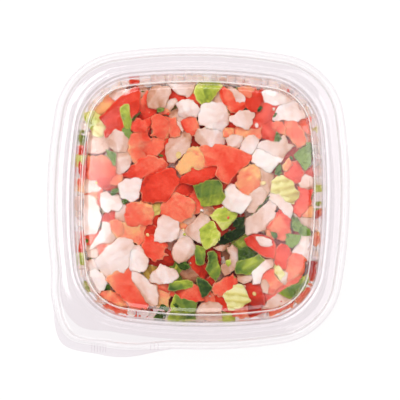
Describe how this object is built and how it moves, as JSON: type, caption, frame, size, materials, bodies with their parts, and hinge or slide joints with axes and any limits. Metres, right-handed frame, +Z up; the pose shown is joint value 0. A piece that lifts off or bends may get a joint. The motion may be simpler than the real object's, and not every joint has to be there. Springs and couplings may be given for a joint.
{
  "type": "pico de gallo",
  "caption": "Fresh pico de gallo salsa of diced tomato, onion, green pepper and cilantro in a clear square deli tub with a press-on lid and tear tab.",
  "frame": {"origin": "centre of the tub's flat foot, on the surface it stands on", "axes": "+Z up through the lid; +X to the right and +Y away as seen from above with the tear tab at the near left corner"},
  "size_m": [0.1299, 0.1337, 0.05],
  "materials": {
    "tub": "clear thermoformed PET, glossy",
    "lid": "clear thermoformed PET, glossy",
    "salsa": "wet cut vegetables: red tomato, white onion, green pepper"
  },
  "bodies": {
    "root": {"tub": "tub", "lid": "lid", "salsa": "salsa"}
  },
  "joints": []
}
